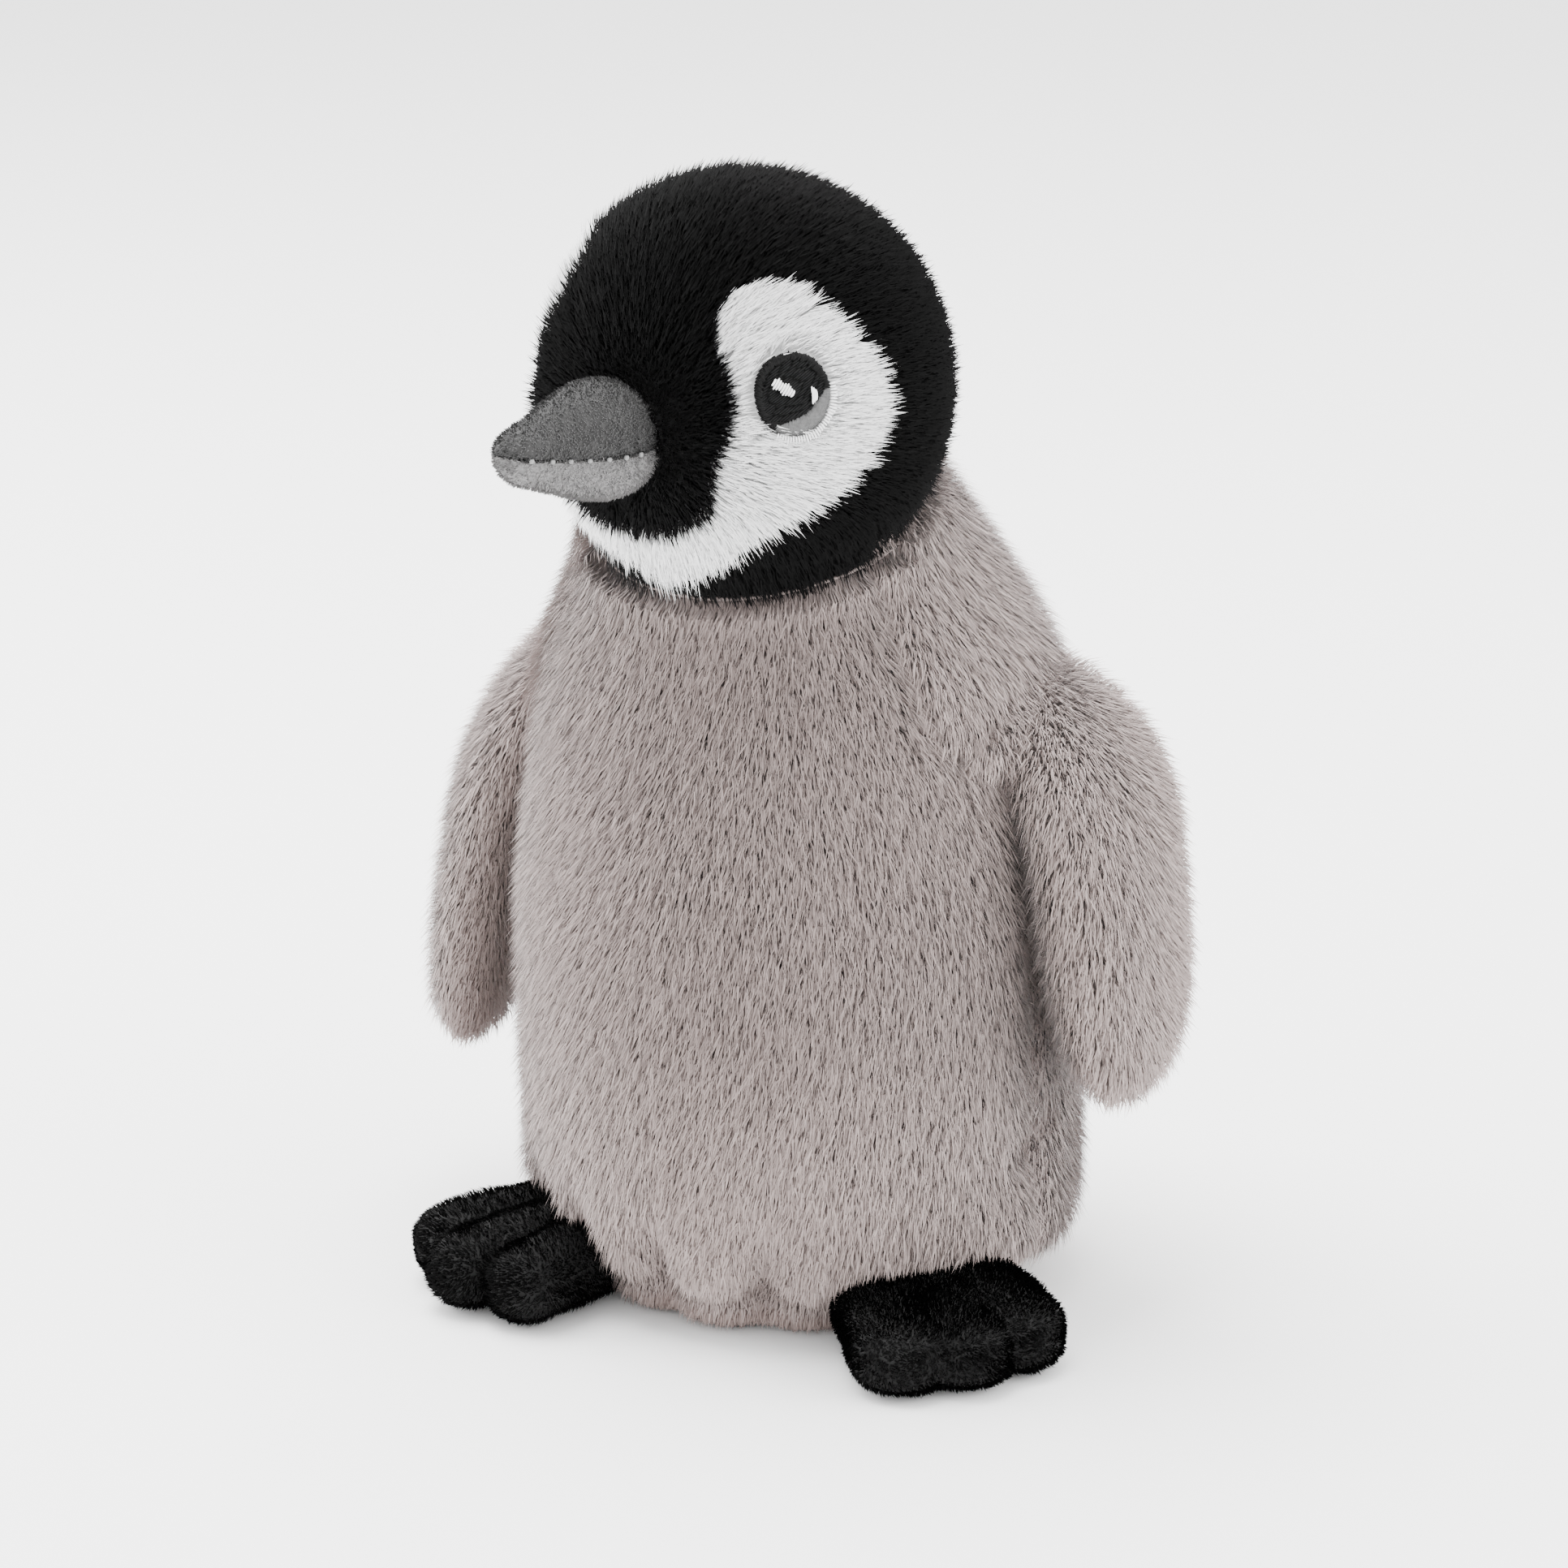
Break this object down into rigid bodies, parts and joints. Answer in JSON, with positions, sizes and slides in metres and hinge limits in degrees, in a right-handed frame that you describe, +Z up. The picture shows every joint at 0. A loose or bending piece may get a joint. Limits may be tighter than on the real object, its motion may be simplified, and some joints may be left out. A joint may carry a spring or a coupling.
{
  "type": "plush penguin",
  "caption": "Stuffed penguin chick in grey, black and white pile cloth, with an embroidered face, a soft beak, sewn wings and feet, and a ball head that turns and nods.",
  "frame": {"origin": "middle of the flat underside of the base, on the surface it stands on", "axes": "+Z up, the body faces -Y, its left side is +X"},
  "size_m": [0.1296, 0.1181, 0.18],
  "materials": {
    "grey_pile": "matte",
    "base_cloth": "matte",
    "black_pile": "matte",
    "white_pile": "matte",
    "beak_dark": "matte",
    "beak_light": "matte",
    "foot_nap": "matte",
    "charcoal_thread": "satin",
    "grey_thread": "satin",
    "white_thread": "satin",
    "fibre_fill": "matte",
    "pouch_cloth": "matte",
    "pellet_plastic": "satin"
  },
  "bodies": {
    "torso": {"belly_panel": "grey_pile", "side_panel_left": "grey_pile", "side_panel_right": "grey_pile", "base_panel": "base_cloth", "torso_stuffing": "fibre_fill", "pellet_pouch": "pouch_cloth", "pellets": "pellet_plastic", "closing_seam": "grey_thread"},
    "neck": {"neck_thread": "charcoal_thread"},
    "head": {"beak_upper": "beak_dark", "beak_lower": "beak_light", "beak_seam": "grey_thread", "beak_stuffing": "fibre_fill", "head_stuffing": "fibre_fill", "head_panel_left": "black_pile", "chin_panel_left": "black_pile", "face_patch_left": "white_pile", "eye_pupil_left": "charcoal_thread", "eye_crescent_left": "grey_thread", "eye_glints_left": "white_thread", "head_panel_right": "black_pile", "chin_panel_right": "black_pile", "face_patch_right": "white_pile", "eye_pupil_right": "charcoal_thread", "eye_crescent_right": "grey_thread", "eye_glints_right": "white_thread"},
    "wing_left": {"wing_outer_left": "grey_pile", "wing_inner_left": "grey_pile", "wing_stuffing_left": "fibre_fill"},
    "foot_left": {"foot_upper_left": "foot_nap", "foot_sole_left": "foot_nap", "foot_stuffing_left": "fibre_fill", "toe_stitches_left": "charcoal_thread"},
    "wing_right": {"wing_outer_right": "grey_pile", "wing_inner_right": "grey_pile", "wing_stuffing_right": "fibre_fill"},
    "foot_right": {"foot_upper_right": "foot_nap", "foot_sole_right": "foot_nap", "foot_stuffing_right": "fibre_fill", "toe_stitches_right": "charcoal_thread"}
  },
  "joints": [
    {"name": "head_turn", "type": "hinge", "parent": "torso", "child": "neck", "pos_m": [0, -0.018, 0.147], "axis": [0, -0.342, 0.9397], "range_deg": [-20, 20], "stiffness_Nm_per_rad": 0.06},
    {"name": "head_nod", "type": "hinge", "parent": "neck", "child": "head", "pos_m": [0, -0.018, 0.147], "axis": [0.9781, -0.2079, 0], "range_deg": [-10, 12], "stiffness_Nm_per_rad": 0.12},
    {"name": "wing_left_lift", "type": "hinge", "parent": "torso", "child": "wing_left", "pos_m": [0.0498, 0.004, 0.096], "axis": [0, -0.9781, -0.2079], "range_deg": [0, 95], "stiffness_Nm_per_rad": 0.02},
    {"name": "wing_right_lift", "type": "hinge", "parent": "torso", "child": "wing_right", "pos_m": [-0.0498, 0.004, 0.096], "axis": [0, 0.9781, 0.2079], "range_deg": [0, 95], "stiffness_Nm_per_rad": 0.02},
    {"name": "foot_left_flex", "type": "hinge", "parent": "torso", "child": "foot_left", "pos_m": [0.03093, -0.02688, 0.011], "axis": [-0.6561, -0.7547, 0], "range_deg": [0, 35], "stiffness_Nm_per_rad": 0.02},
    {"name": "foot_right_flex", "type": "hinge", "parent": "torso", "child": "foot_right", "pos_m": [-0.02695, -0.031, 0.011], "axis": [-0.7547, 0.6561, 0], "range_deg": [0, 35], "stiffness_Nm_per_rad": 0.02}
  ]
}
